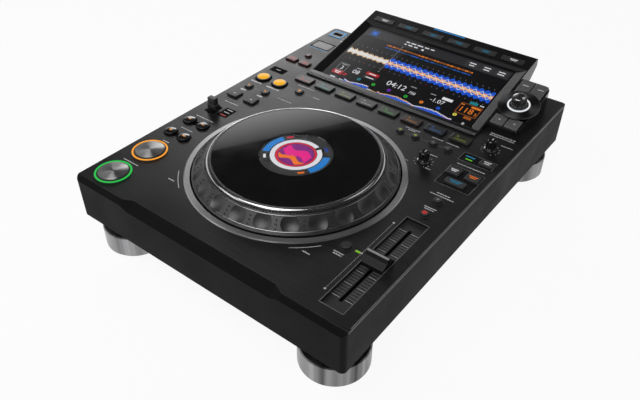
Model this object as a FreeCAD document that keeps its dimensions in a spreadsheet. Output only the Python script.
import FreeCAD, Part
import math
import os
import re
import Sketcher

# Tabletop media player for disc jockeys. Millimetres, +Z up, front at -Y.
# The origin is the middle of the box that holds the player, on the surface it stands on.
# A name that ends in _back is a distance from the case's front face, measured towards the rear.

SIZES = {
    # Case
    "case_width": 329,
    "case_depth": 430,
    "overall_depth": 453,
    "case_bottom": 38.5,
    "deck_top": 86,
    "deck_thickness": 2,
    "case_wall": 3,
    "pan_thickness": 2,
    "corner_radius": 5,
    "rear_plate_thickness": 1.5,
    # Front edge of the deck: a narrow bevel at both ends and a wider brow between them
    "bevel_run": 5,
    "bevel_drop": 4.5,
    "brow_run": 10,
    "brow_drop": 8,
    "brow_width": 176,
    "brow_step": 10,
    # Clearances
    "seam": 0.15,
    "key_gap": 0.4,
    "running_gap": 0.05,
    # Feet
    "foot_radius": 33,
    "foot_top": 26,
    "foot_inset": 34.1,
    "front_foot_back": 34.8,
    "rear_foot_back": 398.3,
    "core_radius": 20,
    "neck_radius": 26,
    "pad_radius": 30.5,
    "pad_thickness": 1.5,
    # Keys
    "key_rise": 2.2,
    "key_travel": 0.8,
    "flange": 1.2,
    "stem_radius": 1.8,
    "cap_edge": 0.7,
    "board_top": 75.6,
    "board_thickness": 1.6,
    "switch_height": 3.5,
    "switch_side": 6,
    "stem_gap": 0.3,
    # Play and cue keys
    "transport_inset": 26.3,
    "play_back": 27.2,
    "cue_back": 74.4,
    "transport_radius": 18.6,
    "transport_cap_radius": 15,
    # Search and track search keys
    "search_spacing": 20.2,
    "search_back": 112.5,
    "track_back": 140.5,
    "search_radius": 6.4,
    # Beat jump, loop and reloop keys
    "loop_inset": 28.25,
    "loop_spacing": 25.3,
    "jump_back": 213,
    "jump_width": 14.5,
    "jump_depth": 12.5,
    "loop_size_back": 237.5,
    "small_key_radius": 5.2,
    "loop_back": 263.5,
    "loop_radius": 8.6,
    "reloop_x": 93,
    # Slip, source and stop keys
    "slip_inset": 17.5,
    "slip_width": 21,
    "slip_depth": 11,
    "source_inset": 22.9,
    "source_spacing": 20.4,
    "source_back": 321.5,
    "source_width": 15,
    "source_depth": 9,
    "stop_back": 341.5,
    # Hot cue keys
    "hot_cue_back": 289,
    "hot_cue_spacing": 30,
    "hot_cue_width": 22.5,
    "hot_cue_depth": 12.5,
    # Keys right of the jog wheel
    "memory_back": 265.5,
    "memory_radius": 4.2,
    "call_x": 54.5,
    "call_spacing": 18.8,
    "delete_x": 94.1,
    "delete_spacing": 17.5,
    "right_inset": 26.9,
    "mode_back": 265,
    "mode_key_width": 15,
    "mode_key_depth": 9.7,
    "sync_back": 235,
    "sync_spacing": 20.6,
    "sync_width": 14.4,
    "sync_depth": 12,
    "key_sync_back": 218.2,
    "key_sync_width": 21,
    "key_sync_depth": 9,
    "range_back": 184.7,
    "master_tempo_back": 160.6,
    "reset_x": 106.4,
    "reset_back": 81.6,
    "reset_radius": 4.8,
    # Jog wheel
    "jog_back": 143.8,
    "ring_radius": 111.5,
    "ring_inner_radius": 105.4,
    "ring_rise": 1,
    "platter_radius": 103.6,
    "platter_bottom": 83.5,
    "skirt_bottom": 88,
    "skirt_top": 101,
    "skirt_top_radius": 87.6,
    "rim_radius": 84.4,
    "jog_top": 104,
    "touch_radius": 83,
    "touch_thickness": 2,
    "ledge_radius": 78,
    "web_top": 100,
    "web_thickness": 3,
    "hub_radius": 29,
    "bearing_radius": 24,
    "post_radius": 18,
    "post_bore_radius": 8,
    "bearing_shoulder": 21,
    "bearing_height": 11,
    "tray_radius": 110,
    "tray_bottom": 68,
    "tray_wall": 2.5,
    "jog_display_radius": 38,
    "dimple_count": 24,
    "dimple_radius": 9.2,
    "dimple_depth": 2,
    # Tempo fader
    "fader_inset": 25.8,
    "fader_back": 82.35,
    "fader_width": 22.8,
    "fader_length": 129.7,
    "fader_recess": 3,
    "fader_plate": 2,
    "fader_slot": 3,
    "fader_travel": 100,
    "fader_pot_width": 12,
    "fader_pot_height": 11,
    "fader_cap_width": 21.6,
    "fader_cap_length": 18,
    "fader_cap_height": 8.5,
    "fader_stem_width": 2,
    "fader_stem_length": 6,
    # Direction lever
    "lever_inset": 19.5,
    "lug_thickness": 2.6,
    "lug_length": 9,
    "lug_gap": 0.3,
    "lever_back": 174,
    "lever_slot": 5,
    "lever_slot_length": 20,
    "lever_radius": 1.6,
    "lever_height": 15,
    "lever_pivot": 76,
    "lever_pin_radius": 2,
    # Small dial knobs
    "jog_adjust_x": 94,
    "jog_adjust_back": 232,
    "vinyl_speed_inset": 26.5,
    "vinyl_speed_back": 292,
    "knob_radius": 5.6,
    "knob_height": 11,
    "knob_lift": 0.5,
    "knob_stem_radius": 3,
    "pot_side": 12,
    "pot_height": 8,
    # Display housing and the parts on its slope
    "display_tilt": 12.5,
    "display_back": 309.9,
    "display_z": 86.6,
    "housing_width": 227.6,
    "housing_wall": 2.5,
    "housing_skin": 3,
    "lip_back": 303.5,
    "lip_rise": 1.7,
    "housing_rear_edge": 10,
    "bezel_rim": 1.5,
    "bezel_length": 119.4,
    "bezel_wall": 14,
    "screen_length": 113.2,
    "screen_start": 3.7,
    "glass_overlap": 3.2,
    "glass_thickness": 1.8,
    "glass_margin": 2.2,
    "module_overlap": 3,
    "module_thickness": 7,
    "menu_slope": 129.2,
    "menu_margin": 5.8,
    "menu_gap": 8,
    "menu_depth": 8,
    "menu_rise": 0.9,
    # Selector block
    "block_gap": 0.3,
    "block_width": 35.4,
    "block_back": 330,
    "block_depth": 81.5,
    "block_wall": 1.6,
    "block_corner": 8,
    "selector_inset": 18.2,
    "selector_slope": 57.8,
    "selector_disc_radius": 22.8,
    "selector_disc_rise": 4.5,
    "selector_disc_thickness": 2,
    "selector_neck_radius": 13,
    "selector_knob_radius": 8.6,
    "selector_knob_height": 10,
    "selector_shaft_radius": 3,
    "selector_travel": 0.7,
    "browse_rise": 1.6,
    "browse_front_depth": 15.5,
    "browse_rear_depth": 24.5,
    # Media bay at the left rear
    "usb_inset": 15.7,
    "usb_back": 415,
    "usb_width": 19.7,
    "usb_depth": 18.4,
    "usb_slot_width": 13.2,
    "usb_slot_depth": 6.4,
    "bay_depth": 16,
    "card_inset": 19.5,
    "card_back": 376.6,
    "card_width": 28,
    "card_depth": 19,
    "door_thickness": 1.6,
    "door_pin_radius": 0.5,
    # Boards and supply inside
    "main_board_width": 180,
    "main_board_depth": 120,
    "main_board_x": 40,
    "main_board_rear_gap": 20,
    "spacer_height": 5,
    "spacer_radius": 3.5,
    "spacer_inset": 6,
    "leg_ring": 90,
    "leg_radius": 5,
    "support_radius": 3,
    "strip_width": 46,
    "strip_inset": 4,
    "supply_x": 110,
    "supply_rear_gap": 40,
    "supply_width": 60,
    "supply_depth": 120,
    "supply_height": 20,
    # Rear sockets and switch
    "socket_z": 62,
    "inlet_x": 112,
    "inlet_width": 27,
    "inlet_height": 20,
    "inlet_depth": 18,
    "switch_x": 78,
    "rocker_width": 13,
    "rocker_height": 19,
    "rocker_pin_radius": 1.2,
    "rocker_gap": 1.3,
    "lan_x": 20,
    "lan_side": 15,
    "usb_b_x": 45,
    "usb_b_side": 11,
    "phono_x": 110,
    "phono_spacing": 18,
    "phono_radius": 4.2,
    # Screws
    "screw_radius": 1.5,
    "screw_head_radius": 3,
    "screw_head_height": 1.2,
    "screw_length": 8,
    "screw_inset": 14,
    "screw_clearance": 0.1,
    "boss_radius": 4,
}

os.makedirs("parts", exist_ok=True)
doc = FreeCAD.newDocument("media_player")
sheet = doc.addObject("Spreadsheet::Sheet", "Sizes")
for row, (alias, number) in enumerate(SIZES.items(), 1):
    sheet.set(f"A{row}", alias)
    sheet.set(f"B{row}", str(number))
    sheet.setAlias(f"B{row}", alias)
doc.recompute()

subparts = {}

# Places and widths that follow from the sizes: columns of keys keep their distance from the case's
# sides, and the display's parts keep theirs from the housing
PLACES = {
    "transport_x": "(case_width / 2 - transport_inset)",
    "loop_x": "(case_width / 2 - loop_inset)",
    "slip_x": "(case_width / 2 - slip_inset)",
    "source_x": "(case_width / 2 - source_inset)",
    "right_x": "(case_width / 2 - right_inset)",
    "fader_x": "(case_width / 2 - fader_inset)",
    "lever_x": "(case_width / 2 - lever_inset)",
    "vinyl_speed_x": "(case_width / 2 - vinyl_speed_inset)",
    "usb_x": "(case_width / 2 - usb_inset)",
    "card_x": "(case_width / 2 - card_inset)",
    "foot_x": "(case_width / 2 - foot_inset)",
    "block_x": "(housing_width / 2 + block_gap)",
    "selector_x": "(housing_width / 2 + block_gap + selector_inset)",
    "bezel_width": "(housing_width - 2 * bezel_rim)",
    "screen_width": "(housing_width - 2 * bezel_wall)",
    "glass_width": "(housing_width - 2 * bezel_wall + 2 * glass_overlap)",
    "module_width": "(housing_width - 2 * bezel_wall + 2 * glass_overlap + 2 * module_overlap)",
    "menu_spacing": "((housing_width - 2 * menu_margin) / 6)",
    "menu_width": "((housing_width - 2 * menu_margin) / 6 - menu_gap)",
    "main_board_back": "(case_depth - main_board_rear_gap - main_board_depth / 2)",
    "supply_back": "(case_depth - supply_rear_gap - supply_depth / 2)",
}


def formula(text):
    """Write out the places named in the text and point every size at its cell of the sheet."""
    placed = re.sub(r"[a-z]\w*", lambda word: PLACES.get(word[0], word[0]), str(text))
    return re.sub(r"[a-z]\w*", lambda word: f"Sizes.{word[0]}" if word[0] in SIZES else word[0], placed)


def bind(item, **settings):
    for setting, text in settings.items():
        item.setExpression(setting.replace("__", "."), formula(text))
    return item


def place(item, x="0", y="0", z="0"):
    return bind(item, Placement__Base__x=x, Placement__Base__y=y, Placement__Base__z=z)


def back(text):
    """Y of a place that is given by its distance from the front face."""
    return f"(({text}) - overall_depth / 2)"


def block(name, x, y, z, width, depth, height):
    """A block centred on x and y that stands on z."""
    item = bind(doc.addObject("Part::Box", name), Length=width, Width=depth, Height=height)
    return place(item, f"({x}) - ({width}) / 2", f"({y}) - ({depth}) / 2", z)


def rod(name, x, y, z, radius, height):
    item = bind(doc.addObject("Part::Cylinder", name), Radius=radius, Height=height)
    return place(item, x, y, z)


def cross_rod(name, x, y, z, radius, length):
    """A rod along X, centred on x."""
    item = rod(name, f"({x}) - ({length}) / 2", y, z, radius, length)
    item.Placement.Rotation = FreeCAD.Rotation(FreeCAD.Vector(0, 1, 0), 90)
    return item


def fuse(name, pieces):
    item = doc.addObject("Part::MultiFuse", name)
    item.Shapes = pieces
    return item


def overlap(name, pieces):
    item = doc.addObject("Part::MultiCommon", name)
    item.Shapes = pieces
    return item


def group(name, pieces):
    item = doc.addObject("Part::Compound", name)
    item.Links = pieces
    return item


def cut(name, base, tools):
    item = doc.addObject("Part::Cut", name)
    item.Base = base
    item.Tool = tools[0] if len(tools) == 1 else fuse(f"{name}_tools", tools)
    return item


def rounded(name, base, radius, wanted):
    """Round the edges of the base that pass the test, by the radius of the named size."""
    doc.recompute()
    reach = float(getattr(sheet, radius))
    item = doc.addObject("Part::Fillet", name)
    item.Base = base
    edges = enumerate(base.Shape.Edges, 1)
    item.Edges = [(number, reach, reach) for number, edge in edges if wanted(edge, base.Shape.BoundBox)]
    return item


def upright(edge, box):
    ends = [vertex.Point for vertex in edge.Vertexes]
    return len(ends) == 2 and abs(ends[0].x - ends[1].x) + abs(ends[0].y - ends[1].y) < 1e-6


def above(edge, box):
    return edge.BoundBox.ZMin > box.ZMax - 1e-6


def soft_top(edge, box):
    return upright(edge, box) or above(edge, box)


def outline(sketch, points):
    """Draw a closed outline in the sketch, with each corner bound to its formulas."""
    count = len(points)
    turns = [2 * math.pi * number / count for number in range(count + 1)]
    corners = [FreeCAD.Vector(math.cos(turn), math.sin(turn), 0) for turn in turns]
    first = sketch.GeometryCount
    lines = [Part.LineSegment(start, end) for start, end in zip(corners, corners[1:])]
    sketch.addGeometry(lines, False)
    for number in range(count):
        following = first + (number + 1) % count
        sketch.addConstraint(Sketcher.Constraint("Coincident", first + number, 2, following, 1))
    for number, corner in enumerate(points):
        for kind, text in zip(("DistanceX", "DistanceY"), corner):
            place_rule = Sketcher.Constraint(kind, -1, 1, first + number, 1, 1.0 + number)
            index = sketch.addConstraint(place_rule)
            sketch.setExpression(f"Constraints[{index}]", formula(text))


def turned(name, points, x="0", y="0"):
    """A body turned about an upright axis through x and y, from its half section."""
    body = doc.addObject("PartDesign::Body", name)
    sketch = body.newObject("Sketcher::SketchObject", f"{name}_section")
    plane = [item for item in body.Origin.OriginFeatures if item.Role == "XZ_Plane"][0]
    sketch.AttachmentSupport = [(plane, "")]
    sketch.MapMode = "FlatFace"
    outline(sketch, points)
    turn = body.newObject("PartDesign::Revolution", f"{name}_turn")
    turn.Profile = sketch
    turn.ReferenceAxis = (sketch, ["V_Axis"])
    turn.Angle = 360
    return place(body, x, y)


def slab(name, points, z, height):
    """A body padded upwards from an outline seen from above."""
    body = doc.addObject("PartDesign::Body", name)
    sketch = body.newObject("Sketcher::SketchObject", f"{name}_outline")
    plane = [item for item in body.Origin.OriginFeatures if item.Role == "XY_Plane"][0]
    sketch.AttachmentSupport = [(plane, "")]
    sketch.MapMode = "FlatFace"
    outline(sketch, points)
    pad = body.newObject("PartDesign::Pad", f"{name}_pad")
    pad.Profile = sketch
    bind(pad, Length=height)
    return place(body, z=z)


def side_profile(name, points, width, x="0"):
    """A solid with the given outline in Y and Z, centred on x."""
    sketch = doc.addObject("Sketcher::SketchObject", f"{name}_outline")
    sketch.Placement = FreeCAD.Placement(FreeCAD.Vector(), FreeCAD.Rotation(FreeCAD.Vector(1, 1, 1), 120))
    outline(sketch, points)
    item = doc.addObject("Part::Extrusion", name)
    item.Base = sketch
    item.DirMode = "Custom"
    item.Dir = FreeCAD.Vector(1, 0, 0)
    item.Symmetric = True
    item.Solid = True
    bind(item, LengthFwd=width)
    return place(item, x=x)


def on_slope(item):
    """Move a piece from its own level frame onto the display's slope."""
    item.Placement.Rotation = FreeCAD.Rotation(FreeCAD.Vector(1, 0, 0), float(sheet.display_tilt))
    bind(item, Placement__Rotation__Angle="display_tilt")
    return place(item, "0", back("display_back"), "display_z")


def keep(label, item):
    item.Label = label
    subparts[label] = item
    return item


# Heights that several pieces share
under_deck = "deck_top - deck_thickness"
flange_bottom = f"{under_deck} - seam - flange"
switch_top = "board_top + switch_height"
stem_bottom = f"{switch_top} + key_travel + stem_gap"
slope_rise = "tan(display_tilt)"

deck_holes = []
switches = []


def add_switch(name, x, y):
    switches.append(block(f"{name}_switch", x, y, "board_top", "switch_side", "switch_side", "switch_height"))


def key_foot(name, x, y):
    """The stem that reaches from a key's flange down to its switch."""
    return rod(f"{name}_stem", x, y, stem_bottom, "stem_radius", f"{flange_bottom} - ({stem_bottom}) + 0.2")


def round_key(name, x, y, radius, rise="key_rise"):
    """A round cap through the deck, with a flange under the deck and a stem to the switch."""
    cap_height = f"deck_top + {rise} - ({flange_bottom})"
    cap = rounded(f"{name}_soft", rod(f"{name}_cap", x, y, flange_bottom, radius, cap_height), "cap_edge", above)
    flange = rod(f"{name}_flange", x, y, flange_bottom, f"{radius} + flange", "flange")
    deck_holes.append(rod(f"{name}_hole", x, y, "case_bottom", f"{radius} + key_gap", "deck_top"))
    add_switch(name, x, y)
    return fuse(name, [cap, flange, key_foot(name, x, y)])


def square_key(name, x, y, width, depth, rise="key_rise"):
    """A four-sided cap through the deck, with a flange under the deck and a stem."""
    cap_height = f"deck_top + {rise} - ({flange_bottom})"
    plain = block(f"{name}_cap", x, y, flange_bottom, width, depth, cap_height)
    cap = rounded(f"{name}_soft", plain, "cap_edge", soft_top)
    flange = block(f"{name}_flange", x, y, flange_bottom, f"{width} + 2 * flange", f"{depth} + 2 * flange", "flange")
    hole = block(f"{name}_hole", x, y, "case_bottom", f"{width} + 2 * key_gap", f"{depth} + 2 * key_gap", "deck_top")
    deck_holes.append(hole)
    add_switch(name, x, y)
    return fuse(name, [cap, flange, key_foot(name, x, y)])


def tie_bar(name, x, y, width, depth):
    """A thin bar that joins the flanges of keys moulded in one piece."""
    return block(name, x, y, flange_bottom, width, depth, "flange")


# Play and cue keys: a lit rim round a turned metal cap
def transport_key(name, distance):
    half_section = [
        ("0", stem_bottom),
        ("stem_radius", stem_bottom),
        ("stem_radius", flange_bottom),
        ("transport_radius + flange", flange_bottom),
        ("transport_radius + flange", f"{under_deck} - seam"),
        ("transport_radius", f"{under_deck} - seam"),
        ("transport_radius", "deck_top + key_rise / 2 - cap_edge"),
        ("transport_radius - cap_edge", "deck_top + key_rise / 2"),
        ("transport_cap_radius + cap_edge", "deck_top + key_rise / 2"),
        ("transport_cap_radius", "deck_top + key_rise"),
        ("0", "deck_top + key_rise"),
    ]
    deck_holes.append(rod(f"{name}_hole", "-transport_x", back(distance), "case_bottom",
                          "transport_radius + key_gap", "deck_top"))
    add_switch(name, "-transport_x", back(distance))
    keep(name, turned(name, half_section, "-transport_x", back(distance)))


transport_key("play_key", "play_back")
transport_key("cue_key", "cue_back")

# Search and track search keys, in two pairs above the cue key
for pair, distance in (("search_key", "search_back"), ("track_key", "track_back")):
    for side, sign in (("back", "-"), ("forward", "+")):
        label = f"{pair}_{side}"
        keep(label, round_key(label, f"-transport_x {sign} search_spacing / 2", back(distance), "search_radius"))

# Beat jump and loop size keys, four caps of one moulding with flexing arms
jump_caps = []
for side, sign in (("left", "-"), ("right", "+")):
    x = f"-loop_x {sign} loop_spacing / 2"
    jump_caps.append(square_key(f"jump_{side}", x, back("jump_back"), "jump_width", "jump_depth"))
    jump_caps.append(round_key(f"loop_size_{side}", x, back("loop_size_back"), "small_key_radius"))
    jump_caps.append(tie_bar(f"jump_arm_{side}", x, back("(jump_back + loop_size_back) / 2"), "flange * 2",
                             "loop_size_back - jump_back"))
jump_caps.append(tie_bar("jump_bar", "-loop_x", back("(jump_back + loop_size_back) / 2"), "loop_spacing", "flange"))
keep("jump_keys", fuse("jump_keys", jump_caps))

# Large lit loop keys, the reloop key and the recessed slip key
keep("loop_in_key", round_key("loop_in_key", "-loop_x - loop_spacing / 2", back("loop_back"), "loop_radius"))
keep("loop_out_key", round_key("loop_out_key", "-loop_x + loop_spacing / 2", back("loop_back"), "loop_radius"))
keep("reloop_key", round_key("reloop_key", "-reloop_x", back("loop_back"), "small_key_radius"))
keep("slip_key", square_key("slip_key", "-slip_x", back("hot_cue_back"), "slip_width", "slip_depth", "0.4"))

# Source keys and the stop key beside the display, one moulding
source_caps = [
    square_key(f"source_{side}", f"-source_x {sign} source_spacing / 2", back("source_back"), "source_width",
               "source_depth")
    for side, sign in (("left", "-"), ("right", "+"))
]
source_caps.append(round_key("stop", "-source_x", back("stop_back"), "memory_radius"))
source_caps.append(tie_bar("source_bar", "-source_x", back("source_back"), "source_spacing", "flange * 2"))
source_caps.append(tie_bar("stop_arm", "-source_x", back("(source_back + stop_back) / 2"), "flange * 2",
                           "stop_back - source_back"))
keep("source_keys", fuse("source_keys", source_caps))

# Eight hot cue keys in a row below the display
for number in range(8):
    label = f"hot_cue_key_{number + 1}"
    x = f"hot_cue_spacing * {number - 3.5}"
    keep(label, square_key(label, x, back("hot_cue_back"), "hot_cue_width", "hot_cue_depth"))

# Call, delete and memory keys, one moulding
memory_x = ["call_x - call_spacing / 2", "call_x + call_spacing / 2", "delete_x - delete_spacing / 2",
            "delete_x + delete_spacing / 2"]
memory_caps = [
    round_key(f"memory_{number}", x, back("memory_back"), "memory_radius") for number, x in enumerate(memory_x, 1)
]
memory_caps.append(tie_bar("memory_bar", f"({memory_x[0]} + {memory_x[3]}) / 2", back("memory_back"),
                           f"{memory_x[3]} - ({memory_x[0]})", "flange * 2"))
keep("memory_keys", fuse("memory_keys", memory_caps))

# Jog mode key, and the three sync keys of one moulding
keep("jog_mode_key", square_key("jog_mode_key", "right_x + sync_spacing / 2", back("mode_back"), "mode_key_width",
                                "mode_key_depth"))
sync_caps = [
    square_key("beat_sync", "right_x - sync_spacing / 2", back("sync_back"), "sync_width", "sync_depth"),
    square_key("sync_master", "right_x + sync_spacing / 2", back("sync_back"), "sync_width", "sync_depth"),
    square_key("key_sync", "right_x", back("key_sync_back"), "key_sync_width", "key_sync_depth"),
    tie_bar("sync_bar", "right_x", back("sync_back"), "sync_spacing", "flange * 2"),
    tie_bar("sync_arm", "right_x", back("(sync_back + key_sync_back) / 2"), "flange * 2",
            "sync_back - key_sync_back"),
]
keep("sync_keys", fuse("sync_keys", sync_caps))

# Tempo range and master tempo keys of one moulding, and the tempo reset key
tempo_caps = [
    round_key("tempo_range", "right_x", back("range_back"), "memory_radius"),
    round_key("master_tempo", "right_x", back("master_tempo_back"), "memory_radius"),
    tie_bar("tempo_bar", "right_x", back("(range_back + master_tempo_back) / 2"), "flange * 2",
            "range_back - master_tempo_back"),
]
keep("tempo_keys", fuse("tempo_keys", tempo_caps))
keep("tempo_reset_key", round_key("tempo_reset_key", "reset_x", back("reset_back"), "reset_radius"))

# Jog wheel: trim ring, platter with finger dimples, touch plate, display, bearing and tray
jog_y = back("jog_back")
ring_section = [
    ("ring_inner_radius", "deck_top"),
    ("ring_radius", "deck_top"),
    ("ring_radius - ring_rise", "deck_top + ring_rise"),
    ("ring_inner_radius", "deck_top + ring_rise"),
]
keep("jog_ring", turned("jog_ring", ring_section, "0", jog_y))

platter_section = [
    ("bearing_radius + running_gap", "platter_bottom"),
    ("hub_radius", "platter_bottom"),
    ("hub_radius", "web_top - web_thickness"),
    ("rim_radius", "web_top - web_thickness"),
    ("platter_radius - 4", "platter_bottom"),
    ("platter_radius", "platter_bottom"),
    ("platter_radius", "skirt_bottom"),
    ("skirt_top_radius", "skirt_top"),
    ("skirt_top_radius", "skirt_top + 1.4"),
    ("(skirt_top_radius + rim_radius) / 2", "jog_top - 0.8"),
    ("rim_radius", "jog_top"),
    ("touch_radius + seam", "jog_top"),
    ("touch_radius + seam", "jog_top - touch_thickness"),
    ("ledge_radius", "jog_top - touch_thickness"),
    ("ledge_radius", "web_top"),
    ("bearing_radius + running_gap", "web_top"),
]
platter_blank = turned("platter_blank", platter_section, "0", jog_y)
skirt_run = float(sheet.platter_radius - sheet.skirt_top_radius)
skirt_rise = float(sheet.skirt_top - sheet.skirt_bottom)
skirt_slope = math.hypot(skirt_run, skirt_rise)
ball_radius = float((sheet.dimple_radius ** 2 + sheet.dimple_depth ** 2) / (2 * sheet.dimple_depth))
ball_lift = ball_radius - float(sheet.dimple_depth)
ball_ring = float(sheet.platter_radius) - skirt_run / 2 + ball_lift * skirt_rise / skirt_slope
ball_z = float(sheet.skirt_bottom) + skirt_rise / 2 + ball_lift * skirt_run / skirt_slope
dimples = []
for number in range(int(sheet.dimple_count)):
    turn = f"{number} * 360 / dimple_count + 6"
    ball = bind(doc.addObject("Part::Sphere", f"dimple_{number}"), Radius=ball_radius)
    dimples.append(place(ball, f"{ball_ring} * cos({turn})", f"{jog_y} + {ball_ring} * sin({turn})", ball_z))
keep("jog_platter", cut("jog_platter", platter_blank, dimples))

touch_section = [
    ("0", "jog_top - touch_thickness"),
    ("touch_radius", "jog_top - touch_thickness"),
    ("touch_radius", "jog_top - 0.4"),
    ("touch_radius - 0.4", "jog_top"),
    ("0", "jog_top"),
]
keep("jog_touch_plate", turned("jog_touch_plate", touch_section, "0", jog_y))

post_top = "web_top - 1.6"
display_section = [
    ("0", post_top),
    ("post_radius", post_top),
    ("post_radius", "web_top + 0.4"),
    ("jog_display_radius", "web_top + 0.4"),
    ("jog_display_radius", "jog_top - touch_thickness - 0.3"),
    ("0", "jog_top - touch_thickness - 0.3"),
]
keep("jog_display", turned("jog_display", display_section, "0", jog_y))

shoulder_top = "platter_bottom + 1.5"
bearing_section = [
    ("post_radius + running_gap", shoulder_top),
    ("bearing_radius", shoulder_top),
    ("bearing_radius", f"{shoulder_top} + bearing_height"),
    ("post_radius + running_gap", f"{shoulder_top} + bearing_height"),
]
keep("jog_bearing", turned("jog_bearing", bearing_section, "0", jog_y))

tray_section = [
    ("post_bore_radius", "tray_bottom"),
    ("tray_radius", "tray_bottom"),
    ("tray_radius", under_deck),
    ("tray_radius - tray_wall", under_deck),
    ("tray_radius - tray_wall", "tray_bottom + tray_wall"),
    ("bearing_shoulder", "tray_bottom + tray_wall"),
    ("bearing_shoulder", shoulder_top),
    ("post_radius", shoulder_top),
    ("post_radius", post_top),
    ("post_bore_radius", post_top),
]
keep("jog_tray", turned("jog_tray", tray_section, "0", jog_y))
deck_holes.append(rod("jog_hole", "0", jog_y, "case_bottom", "ring_inner_radius", "deck_top"))

# Tempo fader: a slotted plate with the slide resistor under it, and the cap on its stem
fader_y = back("fader_back")
plate_top = "deck_top - fader_recess"
plate_bottom = f"{plate_top} - fader_plate"
slot_length = "fader_travel + fader_stem_length + 1"
tray_rim = block("fader_rim", "fader_x", fader_y, plate_bottom, "fader_width + 6", "fader_length + 6",
                 f"{under_deck} - ({plate_bottom})")
tray_well = block("fader_well", "fader_x", fader_y, plate_top, "fader_width", "fader_length", "deck_top")
slide_body = block("slide_body", "fader_x", fader_y, f"{plate_bottom} - fader_pot_height", "fader_pot_width",
                   "fader_length - 6", "fader_pot_height")
slide_slot = block("slide_slot", "fader_x", fader_y, f"{plate_bottom} - fader_pot_height + 2", "fader_slot",
                   slot_length, "deck_top")
keep("fader_unit", cut("fader_unit", fuse("fader_solid", [tray_rim, slide_body]), [tray_well, slide_slot]))
deck_holes.append(block("fader_hole", "fader_x", fader_y, "case_bottom", "fader_width", "fader_length", "deck_top"))

cap_bottom = f"{plate_top} + 0.3"
saddle = [
    (f"{fader_y} - fader_cap_length / 2", cap_bottom),
    (f"{fader_y} + fader_cap_length / 2", cap_bottom),
    (f"{fader_y} + fader_cap_length / 2", "deck_top + 1.6"),
    (f"{fader_y} + fader_cap_length / 6", "deck_top + fader_cap_height * 0.6"),
    (f"{fader_y} + fader_cap_length / 14", "deck_top + fader_cap_height"),
    (f"{fader_y} - fader_cap_length / 14", "deck_top + fader_cap_height"),
    (f"{fader_y} - fader_cap_length / 6", "deck_top + fader_cap_height * 0.6"),
    (f"{fader_y} - fader_cap_length / 2", "deck_top + 1.6"),
]
fader_stem = block("fader_stem", "fader_x", fader_y, f"{plate_bottom} - fader_pot_height + 3", "fader_stem_width",
                   "fader_stem_length", f"{cap_bottom} - ({plate_bottom}) + fader_pot_height - 2.5")
keep("fader_cap", fuse("fader_cap", [side_profile("fader_saddle", saddle, "fader_cap_width", "fader_x"), fader_stem]))

# Direction lever: a stick on a cross pin that turns in two lugs under the deck
lever_y = back("lever_back")
lever_length = "deck_top + lever_height - lever_pivot"
lever_stick = rod("lever_stick", "-lever_x", lever_y, "lever_pivot", "lever_radius", lever_length)
lever_tip = rounded("lever_tip_soft", rod("lever_tip", "-lever_x", lever_y, "deck_top + lever_height / 2",
                                          "lever_radius * 2", "lever_height / 2"), "cap_edge", above)
lever_pin = cross_rod("lever_pin", "-lever_x", lever_y, "lever_pivot", "lever_pin_radius", "lever_slot + 6")
lever_boss = cross_rod("lever_boss", "-lever_x", lever_y, "lever_pivot", "lever_pin_radius + 1.2", "lever_slot - 1")
keep("direction_lever", fuse("direction_lever", [lever_stick, lever_tip, lever_pin, lever_boss]))
deck_holes.append(block("lever_hole", "-lever_x", lever_y, "lever_pivot + lever_pin_radius + 3", "lever_slot",
                        "lever_slot_length", "deck_top"))
lever_lugs = []
for side, sign in (("left", "-"), ("right", "+")):
    lug = block(f"lever_lug_{side}", f"-lever_x {sign} (lever_slot / 2 + lug_thickness / 2 + lug_gap)", lever_y,
                "lever_pivot - lever_pin_radius - 2", "lug_thickness", "lug_length",
                f"{under_deck} - lever_pivot + lever_pin_radius + 2")
    lever_lugs.append(lug)
lever_bore = cross_rod("lever_bore", "-lever_x", lever_y, "lever_pivot", "lever_pin_radius + running_gap",
                       "lever_slot + 20")

# Two small dial knobs, each on a rotary resistor held under the deck
dials = {"jog_adjust_knob": ("jog_adjust_x", "jog_adjust_back"), "vinyl_speed_knob": ("vinyl_speed_x", "vinyl_speed_back")}
resistors = []
for label, (x, distance) in dials.items():
    knob_bottom = "deck_top + knob_lift"
    knob_section = [
        ("0", f"{under_deck} - pot_height + 2"),
        ("knob_stem_radius", f"{under_deck} - pot_height + 2"),
        ("knob_stem_radius", knob_bottom),
        ("knob_radius", knob_bottom),
        ("knob_radius", f"{knob_bottom} + 2"),
        ("knob_radius - 1", f"{knob_bottom} + 3"),
        ("knob_radius - 1.3", f"{knob_bottom} + knob_height - 0.6"),
        ("knob_radius - 1.9", f"{knob_bottom} + knob_height"),
        ("0", f"{knob_bottom} + knob_height"),
    ]
    keep(label, turned(label, knob_section, x, back(distance)))
    body = block(f"{label}_pot", x, back(distance), f"{under_deck} - pot_height", "pot_side", "pot_side", "pot_height")
    bush = rod(f"{label}_bush", x, back(distance), under_deck, "knob_stem_radius + 1.5", "deck_thickness")
    bore = rod(f"{label}_bore", x, back(distance), f"{under_deck} - pot_height + 1.5", "knob_stem_radius + running_gap",
               "deck_top")
    resistors.append(cut(f"{label}_resistor", fuse(f"{label}_pot_body", [body, bush]), [bore]))
    deck_holes.append(rod(f"{label}_hole", x, back(distance), "case_bottom", "knob_stem_radius + 1.5 + seam", "deck_top"))
keep("knob_resistors", group("knob_resistors", resistors))

# Display housing: a wedge-shaped shell that stands on the deck and overhangs the rear
slope_start = back("display_back")
lip_y = back("lip_back")
case_rear = back("case_depth")
housing_rear = "overall_depth / 2"


def slope_z(y):
    """Height of the display's slope above a place in Y."""
    return f"display_z + (({y}) - ({slope_start})) * {slope_rise}"


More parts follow.
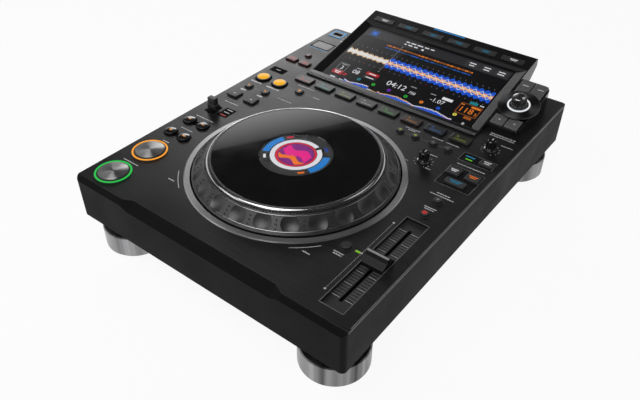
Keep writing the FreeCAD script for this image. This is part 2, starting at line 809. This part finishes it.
lip_top = "deck_top + lip_rise"
lip_end = f"{slope_start} + ({lip_top} - display_z) / {slope_rise}"
rear_crest = f"{housing_rear} - 2"
housing_outline = [
    (lip_y, "deck_top"),
    (lip_y, lip_top),
    (lip_end, lip_top),
    (rear_crest, slope_z(rear_crest)),
    (housing_rear, f"{slope_z(rear_crest)} - 1.2"),
    (housing_rear, f"{slope_z(rear_crest)} - housing_rear_edge"),
    (case_rear, "deck_top"),
]
hollow_front = f"({slope_start} + 1.1)"
hollow_rear = f"{housing_rear} - housing_wall - 2"
skin_drop = "housing_skin / cos(display_tilt)"
hollow_outline = [
    (hollow_front, "deck_top - 1"),
    (hollow_front, f"{slope_z(hollow_front)} - {skin_drop}"),
    (hollow_rear, f"{slope_z(hollow_rear)} - {skin_drop}"),
    (hollow_rear, f"{slope_z(rear_crest)} - housing_rear_edge"),
    (f"{case_rear} - housing_wall * 2", "deck_top - 1"),
]
housing_solid = side_profile("housing_solid", housing_outline, "housing_width")
housing_hollow = side_profile("housing_hollow", hollow_outline, "housing_width - 2 * housing_wall")
bezel = doc.addObject("Part::Wedge", "bezel_cut")
bezel.Placement.Rotation = FreeCAD.Rotation(FreeCAD.Vector(1, 0, 0), 90)
bind(bezel, Xmin="-screen_width / 2", Xmax="screen_width / 2", Ymin="-housing_skin - 0.5", Ymax="0.01",
     Zmin="-screen_start - screen_length", Zmax="-screen_start", X2min="-bezel_width / 2", X2max="bezel_width / 2",
     Z2min="-bezel_length", Z2max="0")
menu_slots = [
    block(f"menu_slot_{number}", f"menu_spacing * {number - 2.5}", "menu_slope", "-housing_skin - 1",
          "menu_width + 2 * key_gap", "menu_depth + 2 * key_gap", "housing_skin + 3")
    for number in range(6)
]
slope_cuts = on_slope(group("slope_cuts", [bezel] + menu_slots))
keep("display_housing", cut("display_housing", housing_solid, [housing_hollow, slope_cuts]))

glass_top = "-housing_skin - seam"
glass_middle = "screen_start + screen_length / 2"
glass_length = "screen_length + 2 * glass_margin"
glass_bottom = f"{glass_top} - glass_thickness"
glass = block("display_glass", "0", glass_middle, glass_bottom, "glass_width", glass_length, "glass_thickness")
keep("display_glass", on_slope(group("display_glass_placed", [glass])))
module_body = block("display_module", "0", glass_middle, f"{glass_bottom} - seam - module_thickness", "module_width",
                    f"{glass_length} - 1", "module_thickness")
keep("display_module", on_slope(group("display_module_placed", [module_body])))

menu_bar_top = "-housing_skin - seam"
menu_caps = [block("menu_bar", "0", "menu_slope", f"{menu_bar_top} - flange", "menu_spacing * 5 + menu_width + 2",
                   "menu_depth + 2", "flange")]
for number in range(6):
    plain = block(f"menu_cap_{number}", f"menu_spacing * {number - 2.5}", "menu_slope", f"{menu_bar_top} - flange",
                  "menu_width", "menu_depth", "flange + seam + housing_skin + menu_rise")
    menu_caps.append(rounded(f"menu_soft_{number}", plain, "cap_edge", upright))
keep("menu_keys", on_slope(fuse("menu_keys", menu_caps)))

# Selector block beside the display: shell, four browse keys, disc, push shaft and knob
block_y = back("block_back + block_depth / 2")
block_middle = "block_x + block_width / 2"
block_front = back("block_back")
block_end = back("block_back + block_depth")
block_outline = [
    (block_front, "deck_top"),
    (block_front, slope_z(block_front)),
    (block_end, slope_z(block_end)),
    (block_end, "deck_top"),
]
block_blank = side_profile("block_blank", block_outline, "block_width", block_middle)


def outer_corner(edge, box):
    return upright(edge, box) and edge.BoundBox.XMin > box.XMax - 1e-6


block_solid = rounded("block_solid", block_blank, "block_corner", outer_corner)
block_hollow = block("block_hollow", block_middle, block_y, "deck_top - 1", "block_width - 2 * block_wall",
                     "block_depth - 2 * block_wall", "deck_top")
hollow_inside = overlap("hollow_inside", [
    rounded("block_hollow_soft", block_hollow, "block_corner", outer_corner),
    side_profile("block_under_skin", [
        (f"{block_front} - 1", "deck_top - 2"),
        (f"{block_front} - 1", f"{slope_z(block_front)} - 2"),
        (f"{block_end} + 1", f"{slope_z(block_end)} - 2"),
        (f"{block_end} + 1", "deck_top - 2"),
    ], "block_width", block_middle),
])
browse_start = "(block_back - display_back) / cos(display_tilt) + 2"
browse_end = "(block_back + block_depth - display_back) / cos(display_tilt) - 2"
browse_width = "(block_width - 2 * block_wall - 2) / 2"
browse_places = []
for side, sign in (("left", "-"), ("right", "+")):
    x = f"{block_middle} {sign} ({browse_width} / 2 + 0.4)"
    browse_places.append((f"browse_front_{side}", x, f"{browse_start} + browse_front_depth / 2", "browse_front_depth"))
    browse_places.append((f"browse_rear_{side}", x, f"{browse_end} - browse_rear_depth / 2", "browse_rear_depth"))
browse_slots = [
    block(f"{name}_slot", x, y, "-6", f"{browse_width} + key_gap", f"{depth} + 2 * key_gap", "12")
    for name, x, y, depth in browse_places
]
shaft_hole = rod("shaft_hole", "selector_x", "selector_slope", "-20", "selector_shaft_radius + 0.4", "40")
block_cuts = on_slope(group("block_cuts", browse_slots + [shaft_hole]))
keep("selector_block", cut("selector_block", block_solid, [hollow_inside, block_cuts]))

browse_caps = []
for name, x, y, depth in browse_places:
    plain = block(f"{name}_cap", x, y, "-3.2", f"{browse_width} - 0.4", depth, "3.2 + browse_rise")
    browse_caps.append(rounded(f"{name}_soft", plain, "cap_edge", soft_top))
browse_centre = f"({browse_start} + {browse_end}) / 2"
for side, sign in (("left", "-"), ("right", "+")):
    browse_caps.append(block(f"browse_rail_{side}", f"{block_middle} {sign} ({browse_width} - 4)", browse_centre,
                             "-3.2", "3", f"{browse_end} - ({browse_start}) - 2", "1"))
keep("browse_keys", on_slope(fuse("browse_keys", browse_caps)))

disc_bottom = "selector_disc_rise - selector_disc_thickness"
disc_section = [
    ("selector_shaft_radius + 0.4", "0"),
    ("selector_neck_radius", "0"),
    ("selector_neck_radius", disc_bottom),
    ("selector_disc_radius - 0.6", disc_bottom),
    ("selector_disc_radius", f"{disc_bottom} + 0.6"),
    ("selector_disc_radius", "selector_disc_rise - 0.5"),
    ("selector_disc_radius - 0.5", "selector_disc_rise"),
    ("selector_shaft_radius + 0.4", "selector_disc_rise"),
]
selector_disc = turned("selector_disc_blank", disc_section, "selector_x", "selector_slope")
keep("selector_disc", on_slope(group("selector_disc", [selector_disc])))
knob_start = "selector_disc_rise + selector_travel + 0.3"
shaft_top = f"{knob_start} + selector_knob_height - 2"
shaft = rod("shaft", "selector_x", "selector_slope", "-5", "selector_shaft_radius", f"5 + {shaft_top}")
shaft_collar = rod("shaft_collar", "selector_x", "selector_slope", "-5", "selector_shaft_radius + 1.4", "2.7")
keep("selector_shaft", on_slope(fuse("selector_shaft", [shaft, shaft_collar])))
selector_section = [
    ("selector_shaft_radius + running_gap", knob_start),
    ("selector_knob_radius", knob_start),
    ("selector_knob_radius", f"{knob_start} + 1.5"),
    ("selector_knob_radius - 0.8", f"{knob_start} + selector_knob_height - 1"),
    ("selector_knob_radius - 1.8", f"{knob_start} + selector_knob_height"),
    ("0", f"{knob_start} + selector_knob_height"),
    ("0", f"{shaft_top} + 0.3"),
    ("selector_shaft_radius + running_gap", f"{shaft_top} + 0.3"),
]
selector_blank = turned("selector_blank", selector_section, "selector_x", "selector_slope")
flutes = [
    rod(f"flute_{number}", f"selector_x + (selector_knob_radius + 0.9) * cos({number} * 30)",
        f"selector_slope + (selector_knob_radius + 0.9) * sin({number} * 30)", f"{knob_start} + 1.5", "1.6",
        "selector_knob_height")
    for number in range(12)
]
keep("selector_knob", on_slope(group("selector_knob", [cut("selector_fluted", selector_blank, flutes)])))

# Media bay: a moulding under the deck with the memory stick socket and the card well, and its door
usb_y = back("usb_back")
card_y = back("card_back")
bay_bottom = f"{under_deck} - bay_depth"
bay_start = back("card_back - card_depth / 2 - 3")
bay_end = back("usb_back + usb_depth / 2 + 1")
bay_solid = block("bay_solid", "-card_x", f"({bay_start} + {bay_end}) / 2", bay_bottom, "card_width + 3",
                  f"{bay_end} - {bay_start}", "bay_depth")
usb_frame = block("usb_frame", "-usb_x", usb_y, f"{under_deck} - 1", "usb_width - 2 * seam", "usb_depth - 2 * seam",
                  "deck_thickness + 1.4")
usb_socket = block("usb_socket", "-usb_x", usb_y, f"{bay_bottom} + 2", "usb_slot_width", "usb_slot_depth", "deck_top")
card_well = block("card_well", "-card_x", card_y, f"{under_deck} - 9", "card_width - 3", "card_depth - 3", "deck_top")
card_rest = block("card_rest", "-card_x", card_y, f"{under_deck} - 0.2", "card_width + 6", "card_depth + 1", "deck_top")
keep("media_bay", cut("media_bay", fuse("bay_body", [bay_solid, usb_frame]), [usb_socket, card_well, card_rest]))
deck_holes.append(block("usb_hole", "-usb_x", usb_y, "case_bottom", "usb_width", "usb_depth", "deck_top"))
deck_holes.append(block("card_hole", "-card_x", card_y, "case_bottom", "card_width + 1", "card_depth + 1", "deck_top"))
door_pin_y = f"{card_y} + card_depth / 2 - door_thickness / 2"
door_pin_z = "deck_top - door_thickness / 2"
door_plate = block("door_plate", "-card_x", f"{card_y} - door_thickness / 4", "deck_top - door_thickness", "card_width",
                   "card_depth - door_thickness / 2", "door_thickness")
door_knuckle = cross_rod("door_knuckle", "-card_x", door_pin_y, door_pin_z, "door_thickness / 2", "card_width")
door_pin = cross_rod("door_pin", "-card_x", door_pin_y, door_pin_z, "door_pin_radius", "card_width + 3")
keep("card_door", fuse("card_door", [door_plate, door_knuckle, door_pin]))
door_bore = cross_rod("door_bore", "-card_x", door_pin_y, door_pin_z, "door_pin_radius + running_gap",
                     "card_width + 4")

front = "-overall_depth / 2"

# Deck panel: one plate with every opening, lugs for the lever and posts down to the control board
brow_half = "brow_width / 2"
half_width = "case_width / 2"
deck_outline = [
    (f"-{half_width}", f"{front} + bevel_run"),
    (f"-{brow_half} - brow_step", f"{front} + bevel_run"),
    (f"-{brow_half}", f"{front} + brow_run"),
    (brow_half, f"{front} + brow_run"),
    (f"{brow_half} + brow_step", f"{front} + bevel_run"),
    (half_width, f"{front} + bevel_run"),
    (half_width, case_rear),
    (f"-{half_width}", case_rear),
]
deck_blank = rounded("deck_rounded", slab("deck_blank", deck_outline, under_deck, "deck_thickness"), "corner_radius",
                     lambda edge, box: upright(edge, box) and edge.BoundBox.YMin > box.YMax - 1e-6)
display_hole = block("display_hole", "0", f"{hollow_front} / 2 + ({case_rear} - 14) / 2", "case_bottom",
                     "housing_width - 2 * housing_wall", f"{case_rear} - 14 - ({hollow_front})", "deck_top")
block_hole = block("block_hole", block_middle, block_y, "case_bottom", "block_width - 2 * block_wall - 4",
                   "block_depth - 2 * block_wall - 6", "deck_top")
deck_holes += [display_hole, block_hole, door_bore]
post_places = [
    ("-case_width / 2 + 12", "96"), ("-case_width / 2 + 12", "200"), ("-case_width / 2 + 12", "350"),
    ("case_width / 2 - 10", "200"), ("case_width / 2 - 10", "250"), ("0", "278"), ("-75", "278"), ("75", "278"),
]
posts = [
    rod(f"post_{number}", x, back(distance), "board_top", "support_radius", f"{under_deck} - board_top")
    for number, (x, distance) in enumerate(post_places)
]
deck_plate = cut("deck_plate", deck_blank, deck_holes)
lugs = cut("lever_lugs", fuse("lug_pair", lever_lugs), [lever_bore])
keep("deck_panel", fuse("deck_panel", [deck_plate, lugs] + posts))

# Control board: one U-shaped board with every switch soldered on it
board_bottom = "board_top - board_thickness"
left_strip = block("left_strip", "-case_width / 2 + strip_inset + strip_width / 2", back("182"), board_bottom,
                   "strip_width", "338", "board_thickness")
middle_strip = block("middle_strip", "0", back("281"), board_bottom, "case_width - 40", "strip_width",
                     "board_thickness")
right_strip = block("right_strip", "case_width / 2 - strip_inset - strip_width / 2", back("227"), board_bottom,
                    "strip_width", "154", "board_thickness")
reset_tab = block("reset_tab", "reset_x + 1", back("reset_back + 33"), board_bottom, "12", "80", "board_thickness")
board_arm = block("board_arm", "case_width / 2 - 46", back("154"), board_bottom, "10", "12", "board_thickness")
lever_gap = block("lever_gap", "-lever_x", lever_y, "case_bottom", "lever_slot + 12", "lever_slot_length", "deck_top")
tray_gap = rod("tray_gap", "0", jog_y, "case_bottom", "tray_radius + 1", "deck_top")
dial_gaps = [
    block(f"{label}_gap", x, back(distance), "case_bottom", "pot_side + 1", "pot_side + 1", "deck_top")
    for label, (x, distance) in dials.items()
]
board_strips = fuse("board_strips", [left_strip, middle_strip, right_strip, reset_tab, board_arm])
board_plate = cut("board_plate", board_strips, [lever_gap, tray_gap] + dial_gaps)
keep("control_board", fuse("control_board", [board_plate] + switches))

# Main case: a moulded surround with the front brow, open at the top, the bottom and the rear
case_y = back("case_depth / 2")
case_height = "deck_top - case_bottom"
case_blank = rounded("case_blank", block("case_block", "0", case_y, "case_bottom", "case_width", "case_depth",
                                         case_height), "corner_radius", upright)
case_hollow = block("case_hollow", "0", back("(case_wall * 4 + case_depth) / 2 + 5"), "case_bottom - 1",
                    "case_width - 2 * case_wall", "case_depth - case_wall * 4 + 10", f"{case_height} + 2")
front_gap_end = f"({front} + case_wall * 4 + 1)"
end_start = f"({front} + bevel_run + 1.2)"
end_inner = "brow_width / 2 + brow_step + 2"
end_outer = "case_width / 2 - case_wall"
end_hollows = [
    block(f"end_hollow_{side}", f"{sign}({end_inner} + {end_outer}) / 2", f"({end_start} + {front_gap_end}) / 2",
          "case_bottom - 1", f"{end_outer} - ({end_inner})", f"{front_gap_end} - {end_start}", f"{case_height} + 2")
    for side, sign in (("left", "-"), ("right", ""))
]
low_hollow = block("low_hollow", "0", f"({front} + case_wall + {front_gap_end}) / 2", "case_bottom - 1",
                   "case_width - 2 * case_wall", f"{front_gap_end} - ({front} + case_wall)",
                   f"{case_height} - brow_drop - 1")
deck_seat = slab("deck_seat", deck_outline, under_deck, "deck_thickness + 1")


def bevel_section(x, run, drop):
    top = float(sheet.deck_top)
    face = -float(sheet.overall_depth) / 2
    corners = [(face - 1, top - drop - drop / run), (face + run, top), (face + run, top + 1), (face - 1, top + 1)]
    return Part.makePolygon([FreeCAD.Vector(x, y, z) for y, z in corners + corners[:1]])


brow_x = float(sheet.brow_width) / 2
ends_x = brow_x + float(sheet.brow_step)
outside_x = float(sheet.case_width) / 2 + 5
narrow = (float(sheet.bevel_run), float(sheet.bevel_drop))
wide = (float(sheet.brow_run), float(sheet.brow_drop))
bevel_steps = [(-outside_x, narrow), (-ends_x, narrow), (-brow_x, wide), (brow_x, wide), (ends_x, narrow),
               (outside_x, narrow)]
bevel_cut = doc.addObject("Part::Feature", "bevel_cut_front")
bevel_cut.Shape = Part.makeLoft([bevel_section(x, *form) for x, form in bevel_steps], True, True)
foot_places = [(f"{sign}foot_x", back(distance)) for sign in ("-", "")
               for distance in ("front_foot_back", "rear_foot_back")]
pan_hollow = block("pan_seat", "0", case_y, "case_bottom - 1", "case_width - 2 * case_wall", "case_depth - 2 * case_wall",
                   "pan_thickness + 1 + seam")
keep("main_case", cut("main_case", case_blank, [case_hollow, low_hollow, deck_seat, bevel_cut, pan_hollow] + end_hollows))

# Base pan with spacers for the boards, and the rear panel standing in the case's open rear
spacer_top = "case_bottom + pan_thickness + spacer_height"
pan_rear = f"{case_rear} - rear_plate_thickness - seam"
pan_front = f"{front} + case_wall + seam"
pan_plate = block("pan_plate", "0", f"({pan_rear} + {pan_front}) / 2", "case_bottom",
                  "case_width - 2 * case_wall - 2 * seam", f"{pan_rear} - ({pan_front})", "pan_thickness")
board_y = back("main_board_back")
supply_y = back("supply_back")
spacers = []
for number, (sx, sy) in enumerate(((-1, -1), (-1, 1), (1, -1), (1, 1))):
    spacers.append(rod(f"board_spacer_{number}", f"main_board_x + {sx} * (main_board_width / 2 - spacer_inset)",
                       f"{board_y} + {sy} * (main_board_depth / 2 - spacer_inset)", "case_bottom", "spacer_radius",
                       "pan_thickness + spacer_height"))
    spacers.append(rod(f"supply_spacer_{number}", f"-supply_x + {sx} * (supply_width / 2 - spacer_inset)",
                       f"{supply_y} + {sy} * (supply_depth / 2 - spacer_inset)", "case_bottom", "spacer_radius",
                       "pan_thickness + spacer_height"))
tray_legs = [
    rod(f"tray_leg_{number}", f"leg_ring * cos({number} * 120 + 90)", f"{jog_y} + leg_ring * sin({number} * 120 + 90)",
        "case_bottom", "leg_radius", "tray_bottom - case_bottom")
    for number in range(3)
]
screw_holes = []
screws = []
screw_places = [(f"{sign}(case_width / 2 - screw_inset)", back(distance)) for sign in ("-", "")
                for distance in ("95", "215", "320")]
for number, (x, y) in enumerate(screw_places):
    screw_holes.append(rod(f"screw_hole_{number}", x, y, "case_bottom - 1", "screw_radius + screw_clearance", "20"))
    screws.append(fuse(f"screw_{number}", [
        rod(f"screw_shank_{number}", x, y, "case_bottom", "screw_radius", "screw_length"),
        rod(f"screw_head_{number}", x, y, "case_bottom - screw_head_height", "screw_head_radius",
            "screw_head_height"),
    ]))
nuts = [
    rod(f"nut_boss_{number}", x, y, "case_bottom", "boss_radius", "screw_length") for number, (x, y) in enumerate(screw_places)
]
keep("base_pan", cut("base_pan", fuse("pan_body", [pan_plate] + spacers + tray_legs + nuts), screw_holes))
keep("case_screws", group("case_screws", screws))

keep("main_board", block("main_board", "main_board_x", board_y, spacer_top, "main_board_width", "main_board_depth",
                         "board_thickness"))
keep("power_supply", block("power_supply", "-supply_x", supply_y, spacer_top, "supply_width", "supply_depth",
                           "supply_height"))

plate_y = f"{case_rear} - rear_plate_thickness / 2"
rear_plate = block("rear_plate", "0", plate_y, "case_bottom", "case_width - 2 * case_wall - 2 * seam",
                   "rear_plate_thickness", f"{under_deck} - case_bottom - seam")
inlet_y = f"{case_rear} - inlet_depth / 2"
rear_holes = [
    block("inlet_hole", "-inlet_x", plate_y, "socket_z - inlet_height / 2 - seam", "inlet_width + 2 * seam", "20",
          "inlet_height + 2 * seam"),
    block("rocker_hole", "-switch_x", plate_y, "socket_z - rocker_height / 2 - rocker_gap",
          "rocker_width + 2 * key_gap", "20", "rocker_height + 2 * rocker_gap"),
    block("lan_hole", "lan_x", plate_y, "socket_z - lan_side / 2 - seam", "lan_side + 2 * seam", "20",
          "lan_side + 2 * seam"),
    block("usb_b_hole", "usb_b_x", plate_y, "socket_z - usb_b_side / 2 - seam", "usb_b_side + 2 * seam", "20",
          "usb_b_side + 2 * seam"),
]


def rear_rod(name, x, y, radius, length):
    """A rod along Y from y towards the rear, at the height of the sockets."""
    item = rod(name, x, y, "socket_z", radius, length)
    item.Placement.Rotation = FreeCAD.Rotation(FreeCAD.Vector(1, 0, 0), -90)
    return item


phono_x = [f"phono_x + phono_spacing * {step}" for step in (-1, 0, 1)]
rear_holes += [
    rear_rod(f"phono_hole_{number}", x, f"{case_rear} - 10", "phono_radius + seam", "20")
    for number, x in enumerate(phono_x)
]
rocker_ears = [
    block(f"rocker_ear_{side}", f"-switch_x {sign} (rocker_width / 2 + 2.2)", f"{case_rear} - 6", "socket_z - 4", "2",
          "10", "8")
    for side, sign in (("left", "-"), ("right", "+"))
]
rocker_y = f"{case_rear} - 7"
ear_bore = cross_rod("ear_bore", "-switch_x", rocker_y, "socket_z", "rocker_pin_radius + running_gap",
                     "rocker_width + 20")
keep("rear_panel", cut("rear_panel", fuse("rear_body", [rear_plate] + rocker_ears), rear_holes + [ear_bore]))

rocker_rear = case_rear
rocker_outline = [
    (f"{rocker_y} - 4", "socket_z - 3"),
    (f"{rocker_y} - 4", "socket_z + 3"),
    (f"{rocker_rear} - 0.2", "socket_z + rocker_height / 2 - 0.6"),
    (f"{rocker_rear} + 2.4", "socket_z + rocker_height / 2 - 1.4"),
    (f"{rocker_rear} - 0.4", "socket_z"),
    (f"{rocker_rear} - 0.4", "socket_z - rocker_height / 2 + 1.4"),
    (f"{rocker_rear} - 2.6", "socket_z - rocker_height / 2 + 1"),
]
rocker = side_profile("rocker_body", rocker_outline, "rocker_width", "-switch_x")
rocker_pin = cross_rod("rocker_pin", "-switch_x", rocker_y, "socket_z", "rocker_pin_radius", "rocker_width + 6")
keep("power_switch", fuse("power_switch", [rocker, rocker_pin]))

# Sockets on the rear board: mains inlet, network, data and three audio sockets, joined by their carrier
inlet_foot = block("inlet_foot", "-inlet_x", inlet_y, "case_bottom + pan_thickness", "inlet_width", "8",
                   "socket_z - inlet_height / 2 - case_bottom - pan_thickness")
inlet_block = block("inlet_block", "-inlet_x", inlet_y, "socket_z - inlet_height / 2", "inlet_width", "inlet_depth",
                    "inlet_height")
inlet_pocket = block("inlet_pocket", "-inlet_x", f"{inlet_y} + 3", "socket_z - inlet_height / 2 + 2.5",
                     "inlet_width - 5", "inlet_depth", "inlet_height - 5")
inlet_pins = [
    block(f"inlet_pin_{number}", f"-inlet_x + 6 * {number - 1}", f"{inlet_y} - 1", f"socket_z - 1.5 + {lift}", "1.6",
          "10", "3")
    for number, lift in enumerate((0, 3, 0))
]
mains_inlet = fuse("mains_inlet", [cut("inlet_shell", inlet_block, [inlet_pocket]), inlet_foot] + inlet_pins)
lan_block = block("lan_block", "lan_x", f"{case_rear} - 10", "socket_z - lan_side / 2", "lan_side", "20", "lan_side")
lan_pocket = block("lan_pocket", "lan_x", f"{case_rear} - 4", "socket_z - lan_side / 2 + 3", "lan_side - 3.4", "16",
                   "lan_side - 6")
data_block = block("data_block", "usb_b_x", f"{case_rear} - 8", "socket_z - usb_b_side / 2", "usb_b_side", "16",
                   "usb_b_side")
data_pocket = block("data_pocket", "usb_b_x", f"{case_rear} - 3", "socket_z - usb_b_side / 2 + 1.5", "usb_b_side - 3",
                    "14", "usb_b_side - 3")
carrier = block("socket_carrier", "(lan_x + phono_x + phono_spacing) / 2", f"{case_rear} - 14", "case_bottom + pan_thickness",
                "phono_x + phono_spacing - lan_x + lan_side", "8",
                "socket_z + lan_side / 2 - case_bottom - pan_thickness")
phonos = [rear_rod(f"phono_{number}", x, f"{case_rear} - 12", "phono_radius", "20") for number, x in enumerate(phono_x)]
phono_bores = [
    rear_rod(f"phono_bore_{number}", x, f"{case_rear} - 2", "1.7", "12") for number, x in enumerate(phono_x)
]
rear_solid = fuse("rear_sockets_body", [carrier, lan_block, data_block] + phonos)
board_sockets = cut("board_sockets", rear_solid, [lan_pocket, data_pocket] + phono_bores)
keep("rear_sockets", group("rear_sockets", [mains_inlet, board_sockets]))

# Feet: a turned metal sleeve on a rubber core that is both the pad below and the neck above
sleeve_section = [
    ("core_radius + seam", "pad_thickness"),
    ("foot_radius - 1.2", "pad_thickness"),
    ("foot_radius", "pad_thickness + 1.2"),
    ("foot_radius", "foot_top - 1"),
    ("foot_radius - 1", "foot_top"),
    ("core_radius + seam", "foot_top"),
]
core_section = [
    ("0", "0"),
    ("pad_radius", "0"),
    ("pad_radius", "pad_thickness"),
    ("core_radius", "pad_thickness"),
    ("core_radius", "foot_top + seam"),
    ("neck_radius", "foot_top + seam"),
    ("neck_radius", "case_bottom"),
    ("0", "case_bottom"),
]
keep("foot_sleeves", group("foot_sleeves", [
    turned(f"sleeve_{number}", sleeve_section, x, y) for number, (x, y) in enumerate(foot_places)
]))
keep("foot_cores", group("foot_cores", [
    turned(f"core_{number}", core_section, x, y) for number, (x, y) in enumerate(foot_places)
]))

doc.recompute()
for item in doc.Objects:
    if "Invalid" in item.State or "Error" in item.State:
        raise RuntimeError(f"{item.Label} did not recompute: {item.State}")
for label, item in subparts.items():
    if item.Shape.isNull() or not item.Shape.isValid() or not item.Shape.Solids:
        raise RuntimeError(f"{label} has no valid solid")
for label, item in subparts.items():
    item.Shape.exportStep(f"parts/{label}.step")
print(len(subparts), "sub-parts")
